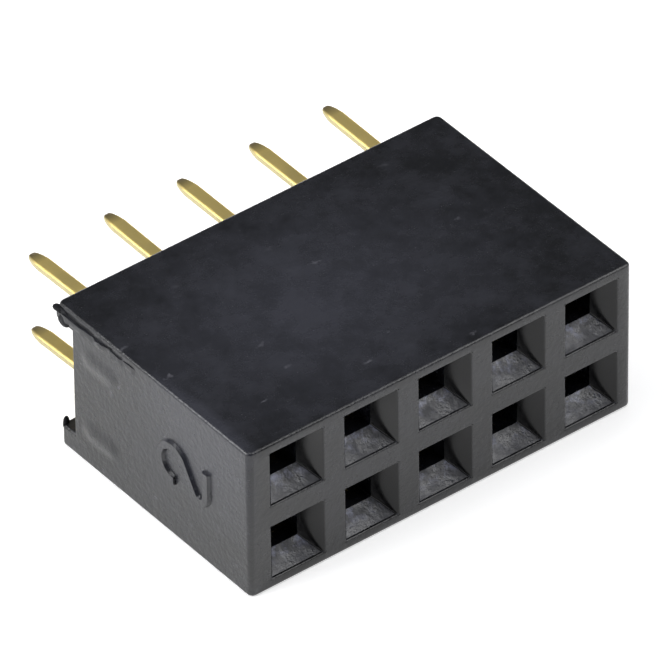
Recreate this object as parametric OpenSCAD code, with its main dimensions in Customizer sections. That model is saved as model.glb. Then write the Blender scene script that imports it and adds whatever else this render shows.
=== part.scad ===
// Double-row pin socket for a circuit board, lying on its long side.
// X runs along the rows, the mating face looks to -Y, the solder tails point to +Y,
// and the housing rests on Z = 0. All lengths are in millimetres.

/* [Grid] */
// Distance between neighbouring contacts, along a row and between the two rows
pitch = 2.54; // [2.4:0.02:3.2]
// Number of contacts in each row
columns = 5; // [2:1:20]

/* [Housing] */
// Distance from the mating face to the feet that stand on the board
housing_depth = 8.5; // [8.2:0.1:12]
// Wall outside the openings, above the upper row and below the lower row
side_wall = 0.32; // [0.25:0.01:1]
// Wall between the first opening and the numbered end face
numbered_end_wall = 0.72; // [0.4:0.01:1.5]
// Wall between the last opening and the plain end face
plain_end_wall = 0.5; // [0.4:0.01:1.5]
// Rounding of the long outer edges
edge_radius = 0.1; // [0.04:0.01:0.2]
// Rounding of the four upright corners
corner_radius = 0.18; // [0.04:0.01:0.3]

/* [Board feet] */
// Height of each foot rail, across the board
foot_height = 0.7; // [0.4:0.05:0.85]
// Distance that the feet hold the housing's floor off the board
foot_standoff = 0.6; // [0.2:0.05:0.8]

/* [Socket openings] */
// Side of the square opening in the mating face
mouth = 1.82; // [1.6:0.02:2]
// Depth of the straight rim before the lead-in starts
mouth_land = 0.2; // [0.05:0.05:0.5]
// Depth of the four sloping lead-in faces
lead_in = 0.46; // [0.2:0.02:0.6]
// Side of the square hole that guides the pin
pin_hole = 0.9; // [0.75:0.05:1]
// Thickness of the wall between the mating face and the contact chamber
front_wall = 1.6; // [1.3:0.1:1.7]

/* [Contact] */
// Thickness of the sheet that the contact is stamped from
stock = 0.25; // [0.15:0.01:0.3]
// Width of the contact over its two side arms
contact_width = 1.4; // [1.3:0.02:1.5]
// Height of the spring arms
arm_height = 0.7; // [0.5:0.05:0.9]
// Gap between the spring arms where they grip the pin
grip_gap = 0.45; // [0.3:0.05:0.55]
// Distance from the arm tips back to the grip
grip_setback = 0.8; // [0.6:0.05:0.9]
// Length of the folded channel that carries the spring arms
channel_length = 1.6; // [1:0.1:1.8]
// Length of the slope from the channel's base to the plate
joggle_length = 0.5; // [0.4:0.05:0.7]
// Length of the flat plate behind the joggle
plate_length = 1.15; // [1.1:0.05:1.4]
// How far the plate is set in from the housing's floor
plate_setback = 0.65; // [0.3:0.05:0.8]
// How far each barb stands out from the edge of the contact
barb_height = 0.24; // [0.12:0.01:0.3]
// Length of each barb
barb_length = 0.45; // [0.3:0.05:0.5]
// Distance between the two barbs on each edge
barb_pitch = 0.6; // [0.55:0.05:0.65]

/* [Solder tail] */
// Width of the tail, along the row
tail_width = 0.5; // [0.4:0.02:0.7]
// Length of the tail below the feet
tail_length = 3.35; // [2:0.05:8]
// Length of the coined, rounded tip
tip_length = 0.55; // [0.3:0.05:0.8]
// Width across the end of the tip
tip_width = 0.26; // [0.16:0.02:0.36]

/* [Clearances] */
// Gap on each side between the contact and the chamber walls
chamber_clearance = 0.05; // [0.02:0.01:0.1]
// Gap on each side between the barbs or plate and the grooves that hold them
groove_clearance = 0.01; // [0.01:0.01:0.03]
// Gap between the arm tips and the front of the chamber
arm_tip_clearance = 0.15; // [0.05:0.05:0.3]

/* [Marks on the numbered end] */
// Height of the raised cavity number
number_height = 2.3; // [2:0.1:2.6]
// Width of the cavity number
number_width = 1.42; // [1:0.02:1.6]
// Width of the number's stroke
number_stroke = 0.28; // [0.15:0.01:0.35]
// How far the number stands out
number_relief = 0.1; // [0.04:0.01:0.2]
// Distance from the middle of the end wall to the top of the number, away from the feet
number_offset = 0.21; // [0:0.01:0.8]
// How far the number sits above the middle of the end wall
number_rise = 0.12; // [0:0.01:0.2]
// How far the end wall swells out over the barbs of the first contacts
swelling_relief = 0.04; // [0.02:0.01:0.08]
// Radius of the swelling's back
swelling_radius = 0.8; // [0.5:0.1:1.2]
// Length of the moulding flash along the upper edge
flash_length = 3.3; // [1:0.1:5]
// How far the flash stands out at the feet
flash_relief = 0.16; // [0.05:0.01:0.25]
// Height of the flash
flash_height = 0.22; // [0.1:0.01:0.4]

/* [Hidden] */
eps = 0.01;
// Depth that the marks on the end wall are rooted in it
mark_root = 0.1;
$fn = 32;

// Housing, from the grid and the walls around it
housing_length = numbered_end_wall + (columns - 1) * pitch + mouth + plain_end_wall;
housing_height = pitch + mouth + 2 * side_wall;
front_y = -housing_depth / 2;
feet_y = housing_depth / 2;
floor_y = feet_y - foot_standoff;
grid_x = (numbered_end_wall - plain_end_wall) / 2;
numbered_x = -housing_length / 2;
hole_start_y = front_y + mouth_land + lead_in;
chamber_y = front_y + front_wall;

// Contact, from the housing's floor forwards
plate_end_y = floor_y - plate_setback;
plate_start_y = plate_end_y - plate_length;
joggle_y = plate_start_y - joggle_length;
channel_y = joggle_y - channel_length;
arm_tip_y = chamber_y + arm_tip_clearance;
grip_y = arm_tip_y + grip_setback;
arm_x = (contact_width - stock) / 2;
grip_x = (grip_gap + stock) / 2;
arm_tip_x = pin_hole / 2;
base_z = -(pin_hole + stock) / 2;
barb_start_y = plate_end_y - barb_pitch - barb_length;
tail_end_y = feet_y + tail_length;

// Chamber and grooves, from the contact that they hold
chamber_width = contact_width + 2 * chamber_clearance;
chamber_arm_side = max(arm_height, pin_hole) / 2 + chamber_clearance;
chamber_base_side = -base_z + stock / 2 + chamber_clearance;
groove_width = contact_width + 2 * barb_height + 2 * groove_clearance;
groove_height = stock + 2 * groove_clearance;

ROW_NAMES = ["lower", "upper"];

function cell_x(c) = grid_x + (c - (columns + 1) / 2) * pitch;
function row_z(r) = housing_height / 2 + (r - 0.5) * pitch;
function unit(v) = v / norm(v);
function both_sides(half) =
    concat(half, [for (i = [len(half) - 1:-1:0]) [-half[i].x, half[i].y]]);
function arc(centre, radius, from, to, steps) =
    [for (i = [0:steps]) let (angle = from + (to - from) * i / steps)
        centre + radius * [cos(angle), sin(angle)]];

// A rectangle about the origin with round corners
module rounded_rectangle(width, height, radius) {
    square([width - 2 * radius, height], center = true);
    square([width, height - 2 * radius], center = true);
    for (x = [-1, 1], y = [-1, 1])
        translate([x * (width / 2 - radius), y * (height / 2 - radius)]) circle(radius);
}

// A ribbon of constant width along a line of points, with mitred bends and square ends
module ribbon(points, width) {
    last = len(points) - 1;
    headings = [for (i = [1:last]) unit(points[i] - points[i - 1])];
    sideways = [for (i = [0:last])
        let (before = headings[max(i - 1, 0)], after = headings[min(i, last - 1)],
             mean = unit(before + after))
            [-mean.y, mean.x] * width / 2 / (mean * before)];
    polygon(concat([for (i = [0:last]) points[i] + sideways[i]],
                   [for (i = [last:-1:0]) points[i] - sideways[i]]));
}

// Extrudes a drawing of the X-Y plane evenly to both sides of Z = 0
module flat_slab(height) {
    translate([0, 0, -height / 2]) linear_extrude(height) children();
}

// Extrudes a drawing whose x is Z and whose y is Y along X, evenly to both sides
module side_slab(width) {
    rotate([0, -90, 0]) flat_slab(width) children();
}

// Places a cavity or contact in its socket. The lower row is turned over, so that in both
// rows the contact's base is on the side of the housing's middle, clear of the feet.
module in_socket(c, r) {
    translate([cell_x(c), 0, row_z(r)]) rotate([0, 180 * (1 - r), 0]) children();
}

// Housing

module housing_block() {
    intersection() {
        translate([0, 0, housing_height / 2]) flat_slab(housing_height)
            rounded_rectangle(housing_length, housing_depth, corner_radius);
        side_slab(housing_length) difference() {
            translate([housing_height / 2, 0])
                rounded_rectangle(housing_height, housing_depth, edge_radius);
            translate([foot_height, floor_y])
                square([housing_height - 2 * foot_height, foot_standoff + eps]);
        }
        rotate([90, 0, 0]) flat_slab(housing_depth)
            translate([0, housing_height / 2])
                rounded_rectangle(housing_length, housing_height, edge_radius);
    }
}

// Outline of a cavity from its mouth to the floor: rim, lead-in, pin hole, chamber
module cavity_outline(chamber_left, chamber_right) {
    polygon([[-mouth / 2, front_y - eps], [-mouth / 2, front_y + mouth_land],
             [-pin_hole / 2, hole_start_y], [-pin_hole / 2, chamber_y],
             [-chamber_left, chamber_y], [-chamber_left, floor_y + eps],
             [chamber_right, floor_y + eps], [chamber_right, chamber_y],
             [pin_hole / 2, chamber_y], [pin_hole / 2, hole_start_y],
             [mouth / 2, front_y + mouth_land], [mouth / 2, front_y - eps]]);
}

module cavity() {
    intersection() {
        flat_slab(pitch) cavity_outline(chamber_width / 2, chamber_width / 2);
        side_slab(pitch) cavity_outline(chamber_base_side, chamber_arm_side);
    }
    translate([0, (barb_start_y + floor_y + eps) / 2, 0])
        cube([groove_width, floor_y + eps - barb_start_y, groove_height], center = true);
}

// The raised cavity number 2, with the top of its bowl at the origin and its foot towards -Y
module cavity_number() {
    bowl_radius = (number_width - number_stroke) / 2;
    bowl_end = -50;
    foot_y = number_stroke / 2 - number_height;
    bowl = arc([0, -number_width / 2], bowl_radius, 185, bowl_end, 16);
    heel = arc([number_stroke - bowl_radius, foot_y + number_stroke], number_stroke,
               bowl_end + 180, 270, 6);
    ribbon(concat(bowl, heel, [[bowl_radius, foot_y]]), number_stroke);
}

module number_mark() {
    translate([numbered_x + mark_root, -number_offset, housing_height / 2 + number_rise])
        rotate([0, -90, 0]) linear_extrude(number_relief + mark_root) cavity_number();
}

// A shallow ridge with round ends, pressed outwards by the barbs behind the wall
module wall_swelling() {
    ridge_length = barb_pitch;
    ridge_y = (barb_start_y + plate_end_y) / 2;
    translate([numbered_x - swelling_relief, ridge_y, 0]) intersection() {
        translate([swelling_radius, 0, 0]) {
            rotate([90, 0, 0]) cylinder(ridge_length, r = swelling_radius, center = true);
            for (side = [-1, 1])
                translate([0, side * ridge_length / 2, 0]) sphere(swelling_radius);
        }
        translate([-eps, -pitch / 2, -pitch / 2])
            cube([swelling_relief + mark_root, pitch, pitch]);
    }
}

// A wedge of flash under the upper edge, thickest at the feet
module flash() {
    back_y = feet_y - corner_radius;
    translate([numbered_x, back_y, housing_height - edge_radius - flash_height])
        linear_extrude(flash_height)
            polygon([[mark_root, 0], [-flash_relief, 0], [0, -flash_length],
                     [mark_root, -flash_length]]);
}

module housing() color("#2f3034") difference() {
    union() {
        housing_block();
        number_mark();
        flash();
        for (r = [0, 1]) translate([0, 0, row_z(r)]) wall_swelling();
    }
    for (c = [1:columns], r = [0, 1]) in_socket(c, r) cavity();
}

// Contact, drawn about the axis of its own socket

// The sheet folded up on both sides of its base, seen along Y
module channel_profile() {
    bend = arm_x - stock;
    bend_z = base_z + stock;
    ribbon(concat([[-arm_x, arm_height / 2]], arc([-bend, bend_z], stock, 180, 270, 6),
                  arc([bend, bend_z], stock, 270, 360, 6), [[arm_x, arm_height / 2]]), stock);
}

module channel() {
    translate([0, joggle_y, 0]) rotate([90, 0, 0])
        linear_extrude(channel_length) channel_profile();
}

module spring_arms() {
    flat_slab(arm_height) for (side = [-1, 1])
        ribbon([[side * arm_x, channel_y + stock], [side * grip_x, grip_y],
                [side * arm_tip_x, arm_tip_y]], stock);
}

// Plan of the flat strip: joggle, plate with two barbs on each edge, neck and tail
module strip_outline() {
    neck_y = plate_end_y + (contact_width - tail_width) / 4;
    tip_y = tail_end_y - tip_length;
    round_y = tail_end_y - tip_width / 2;
    polygon(both_sides([[contact_width / 2, joggle_y - stock], [contact_width / 2, plate_end_y],
                        [tail_width / 2, neck_y], [tail_width / 2, tip_y],
                        [tip_width / 2, round_y]]));
    translate([0, round_y]) circle(d = tip_width);
    for (side = [-1, 1], i = [0, 1])
        translate([side * contact_width / 2, barb_start_y + i * barb_pitch])
            polygon([[-side * eps, 0], [side * barb_height * 0.4, 0],
                     [side * barb_height, barb_length * 0.7], [side * barb_height, barb_length],
                     [-side * eps, barb_length]]);
}

// Side view of the flat strip, which steps up to the pin's axis and thins at the coined tip
module strip_side() {
    tip_y = tail_end_y - tip_length;
    tip_thickness = stock * 0.55;
    ribbon([[base_z, joggle_y - stock], [base_z, joggle_y], [0, plate_start_y], [0, tip_y]], stock);
    polygon([[-stock / 2, plate_end_y], [-stock / 2, tip_y],
             [-tip_thickness / 2, tail_end_y + eps], [tip_thickness / 2, tail_end_y + eps],
             [stock / 2, tip_y], [stock / 2, plate_end_y]]);
}

module contact() color("#b3994f") {
    channel();
    spring_arms();
    intersection() {
        translate([0, 0, base_z - stock / 2]) linear_extrude(stock - base_z) strip_outline();
        side_slab(groove_width) strip_side();
    }
}

housing();
for (r = [0, 1], c = [1:columns])
    in_socket(c, r) contact();
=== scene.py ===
import math

import bmesh
import bpy
from mathutils import Matrix, Vector


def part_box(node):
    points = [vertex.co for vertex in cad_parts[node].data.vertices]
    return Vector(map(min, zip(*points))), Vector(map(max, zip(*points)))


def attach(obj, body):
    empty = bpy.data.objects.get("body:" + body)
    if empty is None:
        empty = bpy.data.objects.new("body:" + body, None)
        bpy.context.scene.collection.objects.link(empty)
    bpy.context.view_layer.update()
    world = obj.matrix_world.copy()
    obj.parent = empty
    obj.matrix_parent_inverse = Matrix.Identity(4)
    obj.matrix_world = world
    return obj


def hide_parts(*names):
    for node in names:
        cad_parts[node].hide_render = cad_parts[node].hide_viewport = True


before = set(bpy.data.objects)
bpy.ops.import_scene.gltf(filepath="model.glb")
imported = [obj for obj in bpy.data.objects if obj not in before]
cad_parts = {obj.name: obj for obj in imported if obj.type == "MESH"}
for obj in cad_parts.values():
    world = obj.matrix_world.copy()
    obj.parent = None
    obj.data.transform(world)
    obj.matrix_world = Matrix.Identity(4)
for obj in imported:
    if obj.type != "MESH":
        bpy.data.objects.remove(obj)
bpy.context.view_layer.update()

MM = 0.001

# ---- Housing ----
# One moulding in black glass-filled polyester. The tool's steel was spark eroded, which gives
# the plastic its fine satin grain. Two feet along the back keep its floor clear of the board,
# and each cavity runs through from a square lead-in to an open chamber.

housing_low, housing_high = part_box("housing")
end_x = housing_high.x
front_y = housing_low.y
feet_y = housing_high.y
roof_z = housing_high.z
foot_standoff = 0.6 * MM
foot_height = 0.7 * MM
floor_y = feet_y - foot_standoff
edge_radius = 0.1 * MM
corner_radius = 0.18 * MM

# Each column of openings stands over a contact, and the two rows are one pitch apart
columns = [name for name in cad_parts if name.startswith("contact_lower_")]
column_x = [sum(corner.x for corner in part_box(name)) / 2 for name in sorted(columns)]
pitch = column_x[1] - column_x[0]
row_z = {"lower": roof_z / 2 - pitch / 2, "upper": roof_z / 2 + pitch / 2}
sockets = [(x, z) for x in column_x for z in row_z.values()]


def matching(mesh, test):
    """The faces whose middle and normal pass the test."""
    return [face for face in mesh.faces if test(face.calc_center_median(), face.normal)]


def corners_of(faces):
    """The corners of faces, each of them once, in the order of the faces."""
    return list(dict.fromkeys(corner for face in faces for corner in face.verts))


def edges_of(faces):
    """The edges of faces, each of them once, in the order of the faces."""
    return list(dict.fromkeys(edge for face in faces for edge in face.edges))


def whole(faces):
    """Faces with their edges and corners, so that an extrusion takes the old ones away."""
    return [*corners_of(faces), *edges_of(faces), *faces]


def cut(mesh, axis, places, test):
    """Cuts the matching faces across one axis at each place."""
    normal = Vector([float(i == axis) for i in range(3)])
    for place in places:
        bmesh.ops.bisect_plane(mesh, geom=whole(matching(mesh, test)), dist=1e-7,
                               plane_co=normal * place, plane_no=normal)


def push(mesh, faces, along, scale_x=1.0, scale_z=1.0):
    """Extrudes faces along Y, and scales them in X and Z about their own middle."""
    made = bmesh.ops.extrude_face_region(mesh, geom=whole(faces))["geom"]
    faces = [item for item in made if isinstance(item, bmesh.types.BMFace)]
    corners = corners_of(faces)
    middle = sum((corner.co for corner in corners), Vector()) / len(corners)
    bmesh.ops.scale(mesh, vec=(scale_x, 1, scale_z), space=Matrix.Translation(-middle),
                    verts=corners)
    bmesh.ops.translate(mesh, vec=(0, along, 0), verts=corners)
    return faces


def round_edges(mesh, radius, segments, test):
    """Rounds the edges whose middle, direction and signed angle pass the test."""
    edges = []
    for edge in mesh.edges:
        if len(edge.link_faces) == 2:
            ends = [corner.co for corner in edge.verts]
            middle, direction = (ends[0] + ends[1]) / 2, (ends[1] - ends[0]).normalized()
            if test(middle, direction, edge.calc_face_angle_signed()):
                edges.append(edge)
    bmesh.ops.bevel(mesh, geom=edges, offset=radius, segments=segments, profile=0.5,
                    affect="EDGES", material=-1)


def near(a, b, gap=0.01 * MM):
    """Whether two lengths are the same to within a gap."""
    return abs(a - b) < gap


moulding = bmesh.new()
bmesh.ops.create_cube(moulding, size=1)
bmesh.ops.scale(moulding, vec=(2 * end_x, floor_y - front_y, roof_z), verts=moulding.verts)
bmesh.ops.translate(moulding, vec=(0, (floor_y + front_y) / 2, roof_z / 2), verts=moulding.verts)
cut(moulding, 2, [foot_height, roof_z - foot_height], lambda middle, normal: True)
push(moulding, matching(moulding, lambda middle, normal: normal.y > 0.9
                        and abs(middle.z - roof_z / 2) > roof_z / 2 - foot_height),
     feet_y - floor_y)
bmesh.ops.dissolve_limit(moulding, angle_limit=0.01, verts=moulding.verts, edges=moulding.edges)

# Four upright corners first, then every long edge, as the cutter rounded the steel
round_edges(moulding, corner_radius, 5, lambda middle, direction, angle: angle > 1
            and abs(direction.z) > 0.9 and not near(middle.y, floor_y))
round_edges(moulding, edge_radius, 4, lambda middle, direction, angle: angle > 1)

# Lead-ins: a shallow rim that draws in the sides, four slopes down to the pin hole, and the hole.
# The hole stops short of the chamber behind it, and is joined to it once that is made.
mouth = 1.82 * MM
rim_depth = 0.09 * MM
rim_width = 1.72 * MM
lead_in = 0.55 * MM
pin_hole = 0.9 * MM
front_wall = 1.6 * MM
hole_gap = 0.2 * MM
guide_end_y = front_y + front_wall - hole_gap
valley_radius = 0.03 * MM
mouth_edge_radius = 0.05 * MM


def on_front(middle, normal):
    return normal.y < -0.99 and near(middle.y, front_y)


cut(moulding, 0, [x + side * mouth / 2 for x in column_x for side in (-1, 1)], on_front)
cut(moulding, 2, [z + side * mouth / 2 for z in row_z.values() for side in (-1, 1)], on_front)
for x, z in sockets:
    opening = matching(moulding, lambda middle, normal: on_front(middle, normal)
                       and near(middle.x, x) and near(middle.z, z))
    rim = push(moulding, opening, rim_depth, rim_width / mouth)
    throat = push(moulding, rim, lead_in, pin_hole / rim_width, pin_hole / mouth)
    push(moulding, throat, guide_end_y - front_y - rim_depth - lead_in)
round_edges(moulding, valley_radius, 3, lambda middle, direction, angle: angle < -0.5
            and abs(direction.y) > 0.4 and middle.y < guide_end_y)
round_edges(moulding, mouth_edge_radius, 4, lambda middle, direction, angle: angle > 1
            and near(middle.y, front_y))

# Chambers from the board side, with a slot on each side for the contact's barbs. A chamber is
# deeper towards the middle of the housing, where the base of the contact's channel lies.
chamber_half_width = 0.75 * MM
slot_half_width = 0.95 * MM
slot_half_height = 0.135 * MM
chamber_arm_side = 0.5 * MM
chamber_base_side = 0.75 * MM
slot_end_y = floor_y - 1.7 * MM
chamber_y = front_y + front_wall


def on_floor(middle, normal):
    return normal.y > 0.99 and near(middle.y, floor_y)


cut(moulding, 0, [x + side * half for x in column_x for side in (-1, 1)
                  for half in (pin_hole / 2, chamber_half_width, slot_half_width)], on_floor)
for z, base_side in zip(row_z.values(), (1, -1)):
    cut(moulding, 2, [z + side * half for side in (-1, 1)
                      for half in (pin_hole / 2, slot_half_height)]
        + [z + base_side * chamber_base_side, z - base_side * chamber_arm_side], on_floor)
for x, z in sockets:
    base_side = 1 if z < roof_z / 2 else -1

    def in_chamber(middle):
        height = (middle.z - z) * base_side
        return (abs(middle.x - x) < chamber_half_width
                and -chamber_arm_side < height < chamber_base_side)

    def in_slot(middle):
        return abs(middle.x - x) < slot_half_width and abs(middle.z - z) < slot_half_height

    open_floor = matching(moulding, lambda middle, normal: on_floor(middle, normal)
                          and (in_chamber(middle) or in_slot(middle)))
    slots = push(moulding, open_floor, slot_end_y - floor_y)
    push(moulding, [face for face in slots if in_chamber(face.calc_center_median())],
         chamber_y - slot_end_y)
    ends = matching(moulding, lambda middle, normal: abs(normal.y) > 0.99
                    and (near(middle.y, guide_end_y) or near(middle.y, chamber_y))
                    and abs(middle.x - x) < pin_hole / 2 and abs(middle.z - z) < pin_hole / 2)
    loops = [edge for edge in edges_of(ends)
             if sum(face in ends for face in edge.link_faces) == 1]
    bmesh.ops.delete(moulding, geom=ends, context="FACES")
    bmesh.ops.bridge_loops(moulding, edges=loops)

# The end wall swells a little over the barbs of the first contacts: a long mound with round
# ends, on a patch of the wall that is cut fine enough to carry it
swelling_y = 2.4 * MM
swelling_relief = 0.05 * MM
mound_half_ridge = 0.4 * MM
mound_end = 0.5 * MM
mound_side = 0.45 * MM
patch_reach_y = 0.95 * MM
patch_reach_z = 0.5 * MM
for z in row_z.values():
    def on_band(middle, normal):
        return (normal.x < -0.99 and near(middle.x, -end_x)
                and abs(middle.y - swelling_y) < patch_reach_y)

    def on_patch(middle, normal):
        return on_band(middle, normal) and abs(middle.z - z) < patch_reach_z

    cut(moulding, 1, [swelling_y - patch_reach_y, swelling_y + patch_reach_y],
        lambda middle, normal: normal.x < -0.99 and near(middle.x, -end_x))
    cut(moulding, 2, [z - patch_reach_z, z + patch_reach_z], on_band)
    for axis, place, reach, parts in ((1, swelling_y, patch_reach_y, 20),
                                      (2, z, patch_reach_z, 12)):
        cut(moulding, axis, [place + reach * (2 * i / parts - 1) for i in range(1, parts)],
            on_patch)
    for corner in corners_of(matching(moulding, on_patch)):
        along = max(abs(corner.co.y - swelling_y) - mound_half_ridge, 0) / mound_end
        across = abs(corner.co.z - z) / mound_side
        slope = math.pi / 2 * min(math.hypot(along, across), 1)
        corner.co.x -= swelling_relief * math.cos(slope) ** 2


def finish_mesh(mesh, name, material, sharp_angle=math.radians(28)):
    """Turns a bmesh into a piece with smooth shading between its sharp edges."""
    bmesh.ops.recalc_face_normals(mesh, faces=mesh.faces)
    for face in mesh.faces:
        face.smooth = True
    for edge in mesh.edges:
        edge.smooth = len(edge.link_faces) == 2 and edge.calc_face_angle() < sharp_angle
    data = bpy.data.meshes.new(name)
    mesh.to_mesh(data)
    mesh.free()
    data.materials.append(material)
    piece = bpy.data.objects.new(name, data)
    bpy.context.scene.collection.objects.link(piece)
    flatten = piece.modifiers.new("Flat faces stay flat", "WEIGHTED_NORMAL")
    flatten.keep_sharp = True
    flatten.weight = 95
    return piece


def srgb(code):
    """A hex colour as linear red, green, blue and alpha."""
    channels = [int(code[i:i + 2], 16) / 255 for i in (1, 3, 5)]
    return [c / 12.92 if c <= 0.04045 else ((c + 0.055) / 1.055) ** 2.4 for c in channels] + [1.0]


def add_node(tree, kind, settings, inputs):
    """Adds a shader node. An input is a value, or a socket to link to it."""
    node = tree.nodes.new("ShaderNode" + kind)
    for name, value in settings.items():
        setattr(node, name, value)
    for name, value in inputs.items():
        if isinstance(value, bpy.types.NodeSocket):
            tree.links.new(value, node.inputs[name])
        else:
            node.inputs[name].default_value = value
    return node


# Black glass-filled polyester, moulded against spark-eroded steel: a deep blue-black with a
# satin sheen. Broad clouds mark where the melt froze last. The roof is paler towards its middle,
# and a painted highlight lightens the upper front of the end wall. The steel's grain is about
# 0.03 mm and is drawn at 0.16 mm, so that it shows. A few pale flecks, drawn out along the flow,
# are bundles of glass fibre at the skin.
polyester = bpy.data.materials.new("black_glass_filled_polyester")
polyester.use_nodes = True
tree = polyester.node_tree
place = add_node(tree, "TexCoord", {}, {}).outputs["Object"]
clouds = add_node(tree, "TexNoise", {}, {
    "Vector": place, "Scale": 1 / (1.2 * MM), "Detail": 6.0, "Roughness": 0.7}).outputs["Fac"]
mottle = add_node(tree, "TexNoise", {}, {
    "Vector": place, "Scale": 1 / (0.4 * MM), "Detail": 4.0, "Roughness": 0.6}).outputs["Fac"]
cloudy = add_node(tree, "Math", {"operation": "MULTIPLY_ADD"}, {
    0: mottle, 1: 0.6, 2: clouds}).outputs["Value"]

# The roof's paler middle and the painted highlight on the end wall each fade to nothing at the
# reach of an ellipsoid about their middle
paler_roof_and_painted_end_highlight_parts = []
for middle, reach in (((-1.5 * MM, -0.165 * MM, 4.9 * MM), (7.5 * MM, 5.5 * MM, 7 * MM)),
                      ((-end_x, -2.6 * MM, 4.6 * MM), (0.5 * MM, 3.4 * MM, 3.6 * MM))):
    ball = add_node(tree, "Mapping", {}, {
        "Vector": place, "Location": [-m / r for m, r in zip(middle, reach)],
        "Scale": [1 / r for r in reach]}).outputs["Vector"]
    paler_roof_and_painted_end_highlight_parts.append(add_node(tree, "TexGradient", {"gradient_type": "SPHERICAL"},
                           {"Vector": ball}).outputs["Fac"])
# Painted highlight: the end wall's share lightens its upper front. The roof's share only makes its
# middle paler.
paler_roof_and_painted_end_highlight = add_node(tree, "Math", {"operation": "MULTIPLY_ADD"}, {
    0: paler_roof_and_painted_end_highlight_parts[1], 1: 1.3, 2: paler_roof_and_painted_end_highlight_parts[0]}).outputs["Value"]
haze = add_node(tree, "Math", {"operation": "MULTIPLY_ADD"}, {
    0: paler_roof_and_painted_end_highlight, 1: 0.8, 2: cloudy}).outputs["Value"]
pale = add_node(tree, "MapRange", {}, {
    "Value": haze, "From Min": 0.7, "From Max": 1.6}).outputs["Result"]
shade = add_node(tree, "MixRGB", {}, {
    "Fac": pale, "Color1": srgb("#07080b"), "Color2": srgb("#2d2e35")}).outputs["Color"]

# Flecks: the middles of cells 0.7 mm apart, bent by a finer noise, of which a few show
ripples = add_node(tree, "TexNoise", {}, {"Vector": place, "Scale": 1 / (0.25 * MM)})
bend = add_node(tree, "MixRGB", {"blend_type": "LINEAR_LIGHT"}, {
    "Fac": 0.2 * MM, "Color1": place, "Color2": ripples.outputs["Color"]}).outputs["Color"]
lengthwise = add_node(tree, "Mapping", {}, {
    "Vector": bend, "Scale": (0.45, 1, 1)}).outputs["Vector"]
cells = add_node(tree, "TexVoronoi", {}, {"Vector": lengthwise, "Scale": 1 / (0.7 * MM)})
fleck = add_node(tree, "MapRange", {}, {
    "Value": cells.outputs["Distance"], "From Min": 0.04, "From Max": 0.13,
    "To Min": 1.0, "To Max": 0.0}).outputs["Result"]
chance = add_node(tree, "SeparateColor", {}, {"Color": cells.outputs["Color"]}).outputs["Red"]
rare = add_node(tree, "MapRange", {}, {
    "Value": chance, "From Min": 0.45, "From Max": 0.95,
    "To Min": 0.0, "To Max": 0.3}).outputs["Result"]
flecks = add_node(tree, "Math", {"operation": "MULTIPLY"}, {0: fleck, 1: rare}).outputs["Value"]
flecked = add_node(tree, "MixRGB", {}, {
    "Fac": flecks, "Color1": shade, "Color2": srgb("#7c7c84")}).outputs["Color"]

gloss = add_node(tree, "MapRange", {}, {
    "Value": clouds, "From Min": 0.3, "From Max": 0.7,
    "To Min": 0.22, "To Max": 0.32}).outputs["Result"]
grain = add_node(tree, "TexNoise", {}, {
    "Vector": place, "Scale": 1 / (0.16 * MM), "Detail": 4.0, "Roughness": 0.6}).outputs["Fac"]
relief = add_node(tree, "Bump", {}, {
    "Height": grain, "Strength": 1.0, "Distance": 0.017 * MM}).outputs["Normal"]
shader = tree.nodes["Principled BSDF"]
shader.inputs["IOR"].default_value = 1.52
tree.links.new(flecked, shader.inputs["Base Color"])
tree.links.new(gloss, shader.inputs["Roughness"])
tree.links.new(relief, shader.inputs["Normal"])

# The same plastic on the slopes above and below the pin holes, where the tool's steel pins were
# eroded fast and left it coarse: grit of about 0.13 mm that catches the light grain by grain,
# and worn smooth in places. Paler patches deep down, towards the pin hole, are a painted
# highlight.
coarse = bpy.data.materials.new("black_polyester_coarse_with_painted_glints")
coarse.use_nodes = True
tree = coarse.node_tree
place = add_node(tree, "TexCoord", {}, {}).outputs["Object"]
grit = add_node(tree, "TexNoise", {}, {
    "Vector": place, "Scale": 1 / (0.13 * MM), "Detail": 3.0, "Roughness": 0.7}).outputs["Fac"]
worn = add_node(tree, "TexNoise", {}, {
    "Vector": place, "Scale": 1 / (0.5 * MM), "Detail": 3.0, "Roughness": 0.6}).outputs["Fac"]
gloss = add_node(tree, "MapRange", {}, {
    "Value": worn, "From Min": 0.35, "From Max": 0.62,
    "To Min": 0.14, "To Max": 0.5}).outputs["Result"]
relief = add_node(tree, "Bump", {}, {
    "Height": grit, "Strength": 1.0, "Distance": 0.022 * MM}).outputs["Normal"]
dull = add_node(tree, "MixRGB", {}, {
    "Fac": grit, "Color1": srgb("#08090c"), "Color2": srgb("#32343f")}).outputs["Color"]
along = add_node(tree, "SeparateXYZ", {}, {"Vector": place}).outputs["Y"]
# Painted highlight: from here on, paler patches deep in the lead-in, towards the pin hole, stand
# in for its glints
deep = add_node(tree, "MapRange", {}, {
    "Value": along, "From Min": front_y + 0.2 * MM,
    "From Max": front_y + 0.55 * MM}).outputs["Result"]
rubs = add_node(tree, "TexNoise", {}, {
    "Vector": place, "Scale": 1 / (0.3 * MM), "Detail": 5.0, "Roughness": 0.7}).outputs["Fac"]
painted_glint_patches = add_node(tree, "MapRange", {}, {
    "Value": rubs, "From Min": 0.48, "From Max": 0.68}).outputs["Result"]
painted_glint_mask = add_node(tree, "Math", {"operation": "MULTIPLY"}, {0: painted_glint_patches, 1: deep}).outputs["Value"]
painted_glint_colour = add_node(tree, "MixRGB", {}, {
    "Fac": painted_glint_mask, "Color1": dull, "Color2": srgb("#8589a0")}).outputs["Color"]
shader = tree.nodes["Principled BSDF"]
shader.inputs["IOR"].default_value = 1.55
tree.links.new(painted_glint_colour, shader.inputs["Base Color"])
tree.links.new(gloss, shader.inputs["Roughness"])
tree.links.new(relief, shader.inputs["Normal"])
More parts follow.
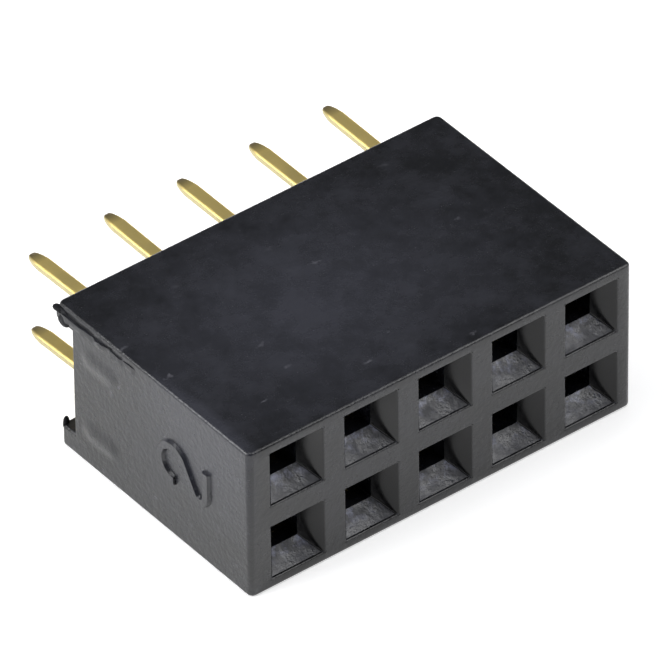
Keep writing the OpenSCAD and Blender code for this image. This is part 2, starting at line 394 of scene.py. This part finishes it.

# The flanks of those pins were polished so that the part lets go of them, which leaves the side
# slopes smooth: they mirror the table, or the shade of the opening's lower lip. Their colour is
# painted shade, darker than the rest of the plastic, for the shade inside the lead-in.
flanks = bpy.data.materials.new("black_polyester_smooth_flanks_painted_shade")
flanks.use_nodes = True
tree = flanks.node_tree
place = add_node(tree, "TexCoord", {}, {}).outputs["Object"]
wipes = add_node(tree, "TexNoise", {}, {
    "Vector": place, "Scale": 1 / (0.6 * MM), "Detail": 3.0, "Roughness": 0.5}).outputs["Fac"]
gloss = add_node(tree, "MapRange", {}, {
    "Value": wipes, "From Min": 0.3, "From Max": 0.7,
    "To Min": 0.1, "To Max": 0.14}).outputs["Result"]
# Painted shade: a colour near black, darker than the plastic elsewhere
painted_shade_colour = add_node(tree, "MixRGB", {}, {
    "Fac": wipes, "Color1": srgb("#040406"), "Color2": srgb("#09090c")}).outputs["Color"]
shader = tree.nodes["Principled BSDF"]
shader.inputs["IOR"].default_value = 1.42
tree.links.new(painted_shade_colour, shader.inputs["Base Color"])
tree.links.new(gloss, shader.inputs["Roughness"])

# The slopes are the faces inside a mouth that neither look straight out nor run straight in
slope_end_y = front_y + 0.7 * MM
housing = finish_mesh(moulding, "housing_moulding", polyester)
housing.data.materials.append(coarse)
housing.data.materials.append(flanks)
for face in housing.data.polygons:
    middle, normal = face.center, face.normal
    in_mouth = any(abs(middle.x - x) < mouth / 2 and abs(middle.z - z) < mouth / 2
                   for x, z in sockets)
    if in_mouth and front_y < middle.y < slope_end_y and -0.9 < normal.y < -0.2:
        # Side slopes take the flanks finish with its painted shade. Slopes facing up or down take
        # the coarse one with its painted highlight.
        face.material_index = 1 if abs(normal.z) > abs(normal.x) else 2
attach(housing, "root")
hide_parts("housing")

# ---- Cavity number ----
# A raised figure 2 on the end wall, which tells the moulder which cavity of the tool the
# housing came from. It was engraved in the steel with a tapered cutter, so its flanks slope.

number_height = 2.3 * MM
number_width = 1.42 * MM
number_stroke = 0.28 * MM
number_relief = 0.09 * MM
number_root = 0.05 * MM
number_top_y = -0.21 * MM
number_z = roof_z / 2 + 0.12 * MM
foot_half_stroke = 0.57
crest_half_stroke = 0.39
crest_radius = 0.03 * MM
bowl_radius = (number_width - number_stroke) / 2
heel_radius = number_stroke
bowl_start, bowl_end, heel_end = math.radians(185), math.radians(-50), math.radians(270)
foot_y = number_top_y - number_height + number_stroke / 2
bowl_middle = Vector((-end_x, number_top_y - number_width / 2, number_z))
heel_middle = Vector((-end_x, foot_y + heel_radius, number_z - bowl_radius + heel_radius))


def on_circle(middle, radius, angle, height):
    """A point on the end wall: the angle turns from the figure's right, +Z, to its top, +Y."""
    return middle + Vector((-height, radius * math.sin(angle), radius * math.cos(angle)))


# The stroke's section is drawn round the bowl, down the neck, round the heel and along the foot
figure = bmesh.new()
section = [on_circle(bowl_middle, bowl_radius + across * number_stroke, bowl_start, height)
           for across, height in ((-foot_half_stroke, -number_root), (-foot_half_stroke, 0),
                                  (-crest_half_stroke, number_relief),
                                  (crest_half_stroke, number_relief),
                                  (foot_half_stroke, 0), (foot_half_stroke, -number_root))]
stroke = [figure.faces.new([figure.verts.new(point) for point in section])]


def sweep(mesh, faces, middle, turn, steps):
    """Turns faces about a line along X through a point, and gives the faces at the end."""
    swept = bmesh.ops.spin(mesh, geom=whole(faces), cent=middle, axis=(1, 0, 0), angle=turn,
                           steps=steps, use_merge=False)["geom_last"]
    return [item for item in swept if isinstance(item, bmesh.types.BMFace)]


def slide(mesh, faces, move):
    """Extrudes faces along a straight line, and gives the faces at the end."""
    made = bmesh.ops.extrude_face_region(mesh, geom=whole(faces))["geom"]
    bmesh.ops.translate(mesh, vec=move, verts=[item for item in made
                                               if isinstance(item, bmesh.types.BMVert)])
    return [item for item in made if isinstance(item, bmesh.types.BMFace)]


stroke = sweep(figure, stroke, bowl_middle, bowl_start - bowl_end, 26)
stroke = slide(figure, stroke, on_circle(heel_middle, heel_radius, bowl_end + math.pi, 0)
               - on_circle(bowl_middle, bowl_radius, bowl_end, 0))
stroke = sweep(figure, stroke, heel_middle, bowl_end + math.pi - heel_end, 10)
slide(figure, stroke, (0, 0, 2 * bowl_radius - heel_radius))
round_edges(figure, crest_radius, 2, lambda middle, direction, angle: angle > 0.7
            and near(middle.x, -end_x - number_relief))
number = finish_mesh(figure, "cavity_number", polyester)
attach(number, "root")

# ---- Mould flash ----
# Where the two halves of the tool meet along the upper edge of the end wall, a thin wedge of
# plastic crept out. It is thickest at the feet and dies away towards the front.

flash_start_y = feet_y - 0.1 * MM
flash_end_y = 0.75 * MM
flash_relief = 0.11 * MM
flash_top_z = roof_z - 0.22 * MM
flash_height = 0.2 * MM
flash_root = 0.15 * MM
flash_rise = 0.02 * MM
flash_parts = 24

wedge = bmesh.new()
bmesh.ops.create_cube(wedge, size=1)
bmesh.ops.scale(wedge, vec=(flash_root + flash_relief, flash_start_y - flash_end_y, flash_height),
                verts=wedge.verts)
bmesh.ops.translate(wedge, vec=(-end_x + (flash_root - flash_relief) / 2,
                                (flash_start_y + flash_end_y) / 2,
                                flash_top_z - flash_height / 2), verts=wedge.verts)
cut(wedge, 1, [flash_end_y + (flash_start_y - flash_end_y) * i / flash_parts
               for i in range(1, flash_parts)], lambda middle, normal: True)

# Its free edge dies away towards the front. It ripples about every 0.7 mm and finely every
# 0.3 mm, and it rises and falls about every 0.9 mm.
for corner in wedge.verts:
    if corner.co.x < -end_x:
        share = max(corner.co.y - flash_end_y, 0) / (flash_start_y - flash_end_y)
        ripple = 0.1 * math.sin(31 * share) + 0.07 * math.sin(67 * share)
        corner.co.x = -end_x - flash_relief * max(share ** 0.6 + ripple, 0)
        corner.co.z += flash_rise * math.sin(23 * share)
flash_edge_radius = 0.02 * MM
round_edges(wedge, flash_edge_radius, 2, lambda middle, direction, angle: angle > 1
            and middle.x < -end_x - flash_edge_radius and abs(direction.y) > 0.9)

flash = finish_mesh(wedge, "mould_flash", polyester)
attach(flash, "root")

# ---- Torn scraps ----
# Where the feet end, the tool closed less well and the plastic tore as the part left it: a lump
# with a flat ear hangs on the upper foot, and a spur stands up from the lower one.

scrap_shapes = {
    "lump": ((-end_x + 0.02 * MM, feet_y - 0.3 * MM, roof_z - 0.42 * MM),
             (0.15 * MM, 0.29 * MM, 0.3 * MM)),
    "ear": ((-end_x - 0.01 * MM, feet_y - 0.07 * MM, roof_z - 0.2 * MM),
            (0.14 * MM, 0.2 * MM, 0.06 * MM)),
    "spur": ((-end_x + 0.12 * MM, feet_y - 0.09 * MM, foot_height),
             (0.11 * MM, 0.07 * MM, 0.24 * MM))}

# Each starts as a ball that is creased by two crossed waves, and is then stretched and placed
scraps = bmesh.new()
for middle, reach in scrap_shapes.values():
    scrap = bmesh.ops.create_icosphere(scraps, subdivisions=4, radius=1)["verts"]
    for corner in scrap:
        torn = (math.sin(5 * corner.co.y + 2) * math.sin(4 * corner.co.z)
                + 0.5 * math.sin(9 * corner.co.z + 5 * corner.co.y))
        corner.co *= 1 - 0.1 * abs(torn)
    bmesh.ops.scale(scraps, vec=reach, verts=scrap)
    bmesh.ops.translate(scraps, vec=middle, verts=scrap)

# The same plastic without its sheen, because the torn skin never lay against steel
torn_skin = polyester.copy()
torn_skin.name = "black_polyester_torn"
tree = torn_skin.node_tree
shader = tree.nodes["Principled BSDF"]
gloss = shader.inputs["Roughness"].links[0].from_node
gloss.inputs["To Min"].default_value = 0.55
gloss.inputs["To Max"].default_value = 0.65
shader.inputs["IOR"].default_value = 1.33
torn_scraps = finish_mesh(scraps, "torn_scraps", torn_skin)
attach(torn_scraps, "root")

# ---- Contacts ----
# Ten like contacts, stamped and folded from a copper-alloy strip 0.25 mm thick and plated with
# a flash of gold over nickel. A channel carries two spring arms, two pairs of barbs hold the
# plate in the housing, and the flat tail is coined to a rounded tip.

stock = 0.25 * MM
contact_width = 1.4 * MM
fold_radius = 1.4 * stock
arm_height = 0.7 * MM
arm_tip_height = 0.8 * arm_height
grip_x = 0.35 * MM
arm_tip_x = 0.45 * MM
bend_reach = 0.2 * MM
bend_depth = 0.02 * MM
base_z = -(pin_hole + stock) / 2
arm_tip_y = chamber_y + 0.15 * MM
grip_y = arm_tip_y + 0.8 * MM
plate_end_y = floor_y - 0.65 * MM
plate_start_y = plate_end_y - 1.15 * MM
joggle_y = plate_start_y - 0.5 * MM
channel_y = joggle_y - 1.6 * MM
barb_pitch = 0.6 * MM
barb_length = 0.45 * MM
barb_ramp = 0.7 * barb_length
barb_step = 0.01 * MM
barb_reach = 0.24 * MM
barb_width = contact_width + 2 * barb_reach
shoulder_length = 0.25 * MM
tail_width = 0.5 * MM
tail_edge_radius = 0.11 * MM
tip_length = 0.55 * MM
tip_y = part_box("contact_upper_1")[1].y


def draw_bar(mesh, stations, rounding=0.0):
    """A bar through stations of middle x, y, z, width and thickness.

    A rounded bar is the first thing in its mesh, because its whole section is drawn out.
    """
    x, y, z, width, thickness = stations[0]
    corners = [mesh.verts.new((x + i * width / 2, y, z + k * thickness / 2))
               for i, k in ((-1, -1), (-1, 1), (1, 1), (1, -1))]
    faces = [mesh.faces.new(corners)]
    if rounding:
        bmesh.ops.bevel(mesh, geom=corners, offset=rounding, segments=5, profile=0.5,
                        affect="VERTICES", material=-1)
        faces = mesh.faces[:]
    for (x0, y0, z0, width0, thickness0), (x1, y1, z1, width1, thickness1) \
            in zip(stations, stations[1:]):
        faces = slide(mesh, faces, (x1 - x0, y1 - y0, z1 - z0))
        bmesh.ops.scale(mesh, vec=(width1 / width0, 1, thickness1 / thickness0),
                        space=Matrix.Translation((-x1, -y1, -z1)),
                        verts=corners_of(faces))


def contact_strip():
    """The folded channel, its two arms, and the plate with its barbs."""
    mesh = bmesh.new()
    bmesh.ops.create_cube(mesh, size=1)
    bmesh.ops.delete(mesh, geom=matching(mesh, lambda middle, normal: normal.z > 0.9
                                         or abs(normal.y) > 0.9), context="FACES")
    height = arm_height / 2 - base_z + stock / 2
    bmesh.ops.scale(mesh, vec=(contact_width, joggle_y - channel_y, height), verts=mesh.verts)
    bmesh.ops.translate(mesh, vec=(0, (joggle_y + channel_y) / 2, (arm_height - height) / 2),
                        verts=mesh.verts)
    round_edges(mesh, fold_radius, 5, lambda middle, direction, angle: abs(direction.y) > 0.9)
    bmesh.ops.recalc_face_normals(mesh, faces=mesh.faces)
    bmesh.ops.solidify(mesh, geom=mesh.faces[:], thickness=stock)
    side_x = (contact_width - stock) / 2
    for side in (-1, 1):
        draw_bar(mesh, [
            (side * side_x, channel_y + stock, 0, stock, arm_height),
            (side * (grip_x + bend_depth), grip_y + bend_reach, 0, stock, arm_height),
            (side * grip_x, grip_y, 0, stock, arm_height),
            (side * (grip_x + bend_depth), grip_y - bend_reach, 0, stock, arm_height),
            (side * arm_tip_x, arm_tip_y, 0, stock, arm_tip_height)])
    plate = [(joggle_y - stock, base_z, contact_width), (joggle_y, base_z, contact_width),
             (plate_start_y, 0, contact_width)]
    for barb_end_y in (plate_end_y - barb_pitch, plate_end_y):
        barb_y = barb_end_y - barb_length
        plate += [(barb_y, 0, contact_width), (barb_y + barb_ramp, 0, barb_width),
                  (barb_y + barb_length, 0, barb_width),
                  (barb_y + barb_length + barb_step, 0, contact_width)]
    plate += [(plate_end_y + shoulder_length, 0, tail_width)]
    draw_bar(mesh, [(0, y, z, width, stock) for y, z, width in plate])
    return mesh


# Where the tail changes along its length, with its width and thickness there as shares
tail_shape = [(plate_end_y, 1, 1), (floor_y, 1, 1), (tip_y - tip_length, 1, 1),
              (tip_y - 0.3 * MM, 0.86, 0.9), (tip_y - 0.12 * MM, 0.66, 0.76),
              (tip_y - 0.03 * MM, 0.46, 0.6), (tip_y, 0.3, 0.42)]


def add_tail(mesh, lean_x, lean_z):
    """The flat tail, bent by a hair at the floor, with its coined tip and softened edges."""
    tail = bmesh.new()
    stations = []
    for y, width, thickness in tail_shape:
        share = max(y - floor_y, 0) / (tip_y - floor_y)
        stations.append((lean_x * share, y, lean_z * share, tail_width * width, stock * thickness))
    draw_bar(tail, stations, tail_edge_radius)
    data = bpy.data.meshes.new("tail")
    tail.to_mesh(data)
    tail.free()
    mesh.from_mesh(data)
    bpy.data.meshes.remove(data)


# Gold flash over nickel on the rolled faces: a dull straw gold, rubbed a little by handling,
# with the dark base metal showing at the coined tip
gold = bpy.data.materials.new("gold_flash_over_nickel")
gold.use_nodes = True
tree = gold.node_tree
place = add_node(tree, "TexCoord", {}, {}).outputs["Object"]
rubs = add_node(tree, "TexNoise", {}, {
    "Vector": place, "Scale": 1 / (0.5 * MM), "Detail": 3.0, "Roughness": 0.6}).outputs["Fac"]
along = add_node(tree, "SeparateXYZ", {}, {"Vector": place}).outputs["Y"]
bare = add_node(tree, "MapRange", {}, {
    "Value": along, "From Min": tip_y - tip_length, "From Max": tip_y - 0.05 * MM,
    "To Min": 0.0, "To Max": 0.85}).outputs["Result"]
plated = add_node(tree, "MixRGB", {}, {
    "Fac": rubs, "Color1": srgb("#f4de92"), "Color2": srgb("#e6ce80")}).outputs["Color"]
skin = add_node(tree, "MixRGB", {}, {
    "Fac": bare, "Color1": plated, "Color2": srgb("#5f5546")}).outputs["Color"]
gloss = add_node(tree, "MapRange", {}, {
    "Value": rubs, "From Min": 0.3, "From Max": 0.7,
    "To Min": 0.4, "To Max": 0.5}).outputs["Result"]

# The marks of the rolls run along the strip: 0.8 mm long and a twelfth as wide
lengthwise = add_node(tree, "Mapping", {}, {
    "Vector": place, "Scale": (12, 1, 12)}).outputs["Vector"]
rolled = add_node(tree, "TexNoise", {}, {
    "Vector": lengthwise, "Scale": 1 / (0.8 * MM), "Detail": 2.0,
    "Roughness": 0.5}).outputs["Fac"]
relief = add_node(tree, "Bump", {}, {
    "Height": rolled, "Strength": 0.2, "Distance": 0.004 * MM}).outputs["Normal"]
shader = tree.nodes["Principled BSDF"]
shader.inputs["Metallic"].default_value = 1.0
tree.links.new(skin, shader.inputs["Base Color"])
tree.links.new(gloss, shader.inputs["Roughness"])
tree.links.new(relief, shader.inputs["Normal"])

# The sheared sides of the strip take the plating thinly over torn metal with a grain of about
# 0.07 mm, so they are paler than the rolled faces and sparkle less
sheared = bpy.data.materials.new("thin_gold_on_sheared_edge")
sheared.use_nodes = True
tree = sheared.node_tree
place = add_node(tree, "TexCoord", {}, {}).outputs["Object"]
torn = add_node(tree, "TexNoise", {}, {
    "Vector": place, "Scale": 1 / (0.07 * MM), "Detail": 2.0, "Roughness": 0.6}).outputs["Fac"]
pale = add_node(tree, "MixRGB", {}, {
    "Fac": torn, "Color1": srgb("#cfc59c"), "Color2": srgb("#b9ad80")}).outputs["Color"]
relief = add_node(tree, "Bump", {}, {
    "Height": torn, "Strength": 0.4, "Distance": 0.008 * MM}).outputs["Normal"]
shader = tree.nodes["Principled BSDF"]
shader.inputs["Metallic"].default_value = 1.0
shader.inputs["Roughness"].default_value = 0.45
tree.links.new(pale, shader.inputs["Base Color"])
tree.links.new(relief, shader.inputs["Normal"])

# How far each tail leans at its tip from handling, in millimetres along X and Z
tail_lean = {"contact_upper_1": (-0.03, -0.08), "contact_upper_2": (0.02, 0.02),
             "contact_upper_3": (0.0, -0.01), "contact_upper_4": (-0.01, 0.01),
             "contact_upper_5": (0.04, 0.04), "contact_lower_1": (-0.02, -0.14),
             "contact_lower_2": (0.03, -0.02), "contact_lower_3": (-0.02, 0.03),
             "contact_lower_4": (0.02, 0.02), "contact_lower_5": (-0.03, -0.02)}

# The lower row is turned half round, so that the bases of both rows face the middle
for row, z in row_z.items():
    for column, x in enumerate(column_x, 1):
        node_name = f"contact_{row}_{column}"
        mesh = contact_strip()
        if row == "lower":
            bmesh.ops.rotate(mesh, cent=(0, 0, 0), matrix=Matrix.Rotation(math.pi, 3, "Y"),
                             verts=mesh.verts)
        lean_x, lean_z = tail_lean[node_name]
        add_tail(mesh, lean_x * MM, lean_z * MM)
        bmesh.ops.translate(mesh, vec=(x, 0, z), verts=mesh.verts)
        contact = finish_mesh(mesh, node_name + "_strip", gold)
        contact.data.materials.append(sheared)
        for face in contact.data.polygons:
            is_sheared = abs(face.normal.x) > 0.75
            face.material_index = 1 if is_sheared else 0
        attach(contact, "root")
        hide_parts(node_name)

# ---- Table and surround ----
# A matt white sheet that curves up into a low wall all round, far outside the part. It takes the
# part's shadow. To the camera, and in gloss and glass, it also glows a little of its own.

white_sheet = bpy.data.materials.new("matt_white_sheet")
white_sheet.use_nodes = True
tree = white_sheet.node_tree
shader = tree.nodes["Principled BSDF"]
shader.inputs["Base Color"].default_value = srgb("#f2f2f2")
shader.inputs["Roughness"].default_value = 0.9
shader.inputs["Specular IOR Level"].default_value = 0.0
path = add_node(tree, "LightPath", {}, {})
seen = add_node(tree, "Math", {"operation": "MAXIMUM"}, {
    0: path.outputs["Is Camera Ray"], 1: path.outputs["Is Glossy Ray"]}).outputs["Value"]
seen = add_node(tree, "Math", {"operation": "MAXIMUM"}, {
    0: seen, 1: path.outputs["Is Transmission Ray"]}).outputs["Value"]
place = add_node(tree, "TexCoord", {}, {}).outputs["Object"]
height = add_node(tree, "SeparateXYZ", {}, {"Vector": place}).outputs["Z"]
glow = add_node(tree, "MapRange", {}, {
    "Value": height, "From Min": 0.0, "From Max": 2 * MM,
    "To Min": 0.45, "To Max": 0.85}).outputs["Result"]
shown_glow = add_node(tree, "Math", {"operation": "MULTIPLY"}, {
    0: seen, 1: glow}).outputs["Value"]
lift = add_node(tree, "Emission", {}, {"Strength": shown_glow}).outputs["Emission"]
sheet_shader = add_node(tree, "AddShader", {}, {
    0: shader.outputs["BSDF"], 1: lift}).outputs["Shader"]
tree.links.new(sheet_shader, tree.nodes["Material Output"].inputs["Surface"])

# Radius and height of the sheet from its middle outwards. It lies a hair under the part, so that
# the two surfaces don't coincide.
sheet_profile = [(0, 0), (200 * MM, 0), (500 * MM, 0), (560 * MM, 4 * MM), (590 * MM, 20 * MM),
                 (600 * MM, 80 * MM)]
hair = 0.01 * MM
sheet = bmesh.new()
points = [sheet.verts.new((radius, 0, height - hair)) for radius, height in sheet_profile]
edges = [sheet.edges.new(pair) for pair in zip(points, points[1:])]
bmesh.ops.spin(sheet, geom=points + edges, cent=(0, 0, 0), axis=(0, 0, 1), angle=2 * math.pi,
               steps=96, use_merge=True)
bmesh.ops.remove_doubles(sheet, verts=sheet.verts, dist=0.001 * MM)
table = finish_mesh(sheet, "white_table", white_sheet, math.radians(60))

# ---- Light ----
# A dim room, a little brighter high up behind the part, with three square soft boxes: one
# straight above, one high in front to the right that shines into the lead-ins, and one high on
# the left.

world = bpy.data.worlds.new("dim_room")
bpy.context.scene.world = world
world.use_nodes = True
tree = world.node_tree
direction = add_node(tree, "TexCoord", {}, {}).outputs["Generated"]
towards_window = add_node(tree, "VectorMath", {"operation": "DOT_PRODUCT"}, {
    0: direction, 1: (0.2, 0.75, 0.63)}).outputs["Value"]
glow = add_node(tree, "MapRange", {}, {
    "Value": towards_window, "From Min": -0.2, "From Max": 1.0,
    "To Min": 0.05, "To Max": 0.215}).outputs["Result"]
background = tree.nodes["Background"]
background.inputs["Color"].default_value = srgb("#f4f6ff")
tree.links.new(glow, background.inputs["Strength"])


def soft_box(name, direction, distance, size, radiance):
    """A square lamp of an even brightness that faces the part from a direction."""
    lamp = bpy.data.lights.new(name, "AREA")
    lamp.size = size
    lamp.energy = radiance * math.pi * size ** 2
    box = bpy.data.objects.new(name, lamp)
    bpy.context.scene.collection.objects.link(box)
    box.location = Vector(direction).normalized() * distance
    box.rotation_euler = Vector(direction).to_track_quat("Z", "Y").to_euler()


soft_box("overhead_box", (0, 0, 1), 400 * MM, 250 * MM, 2.2)
soft_box("front_right_box", (0.6, -0.44, 0.67), 500 * MM, 340 * MM, 3.3)
soft_box("left_box", (-0.72, 0.35, 0.6), 400 * MM, 260 * MM, 7.2)

# ---- Camera ----
# A long lens from the front left, well above the part, that is tilted by less than a degree.

view_turn = math.radians(37.555)
view_drop = math.radians(39.034)
view_roll = math.radians(-0.742)
view_distance = 320 * MM
focal_length = 633.15
aim = Vector((-0.059, 0.482, 2.927)) * MM
forward = Vector((math.sin(view_turn) * math.cos(view_drop),
                  math.cos(view_turn) * math.cos(view_drop), -math.sin(view_drop)))
right = forward.cross(Vector((0, 0, 1))).normalized()
up = right.cross(forward)
tilted_right = right * math.cos(view_roll) + up * math.sin(view_roll)
tilted_up = up * math.cos(view_roll) - right * math.sin(view_roll)
lens = bpy.data.cameras.new("long_lens")
lens.lens = focal_length
lens.sensor_width = 36
lens.clip_start = 10 * MM
camera = bpy.data.objects.new("camera", lens)
bpy.context.scene.collection.objects.link(camera)
camera.matrix_world = Matrix.Translation(aim - forward * view_distance) @ Matrix(
    (tilted_right, tilted_up, -forward)).transposed().to_4x4()
bpy.context.scene.camera = camera
bpy.context.scene.view_settings.view_transform = "Standard"
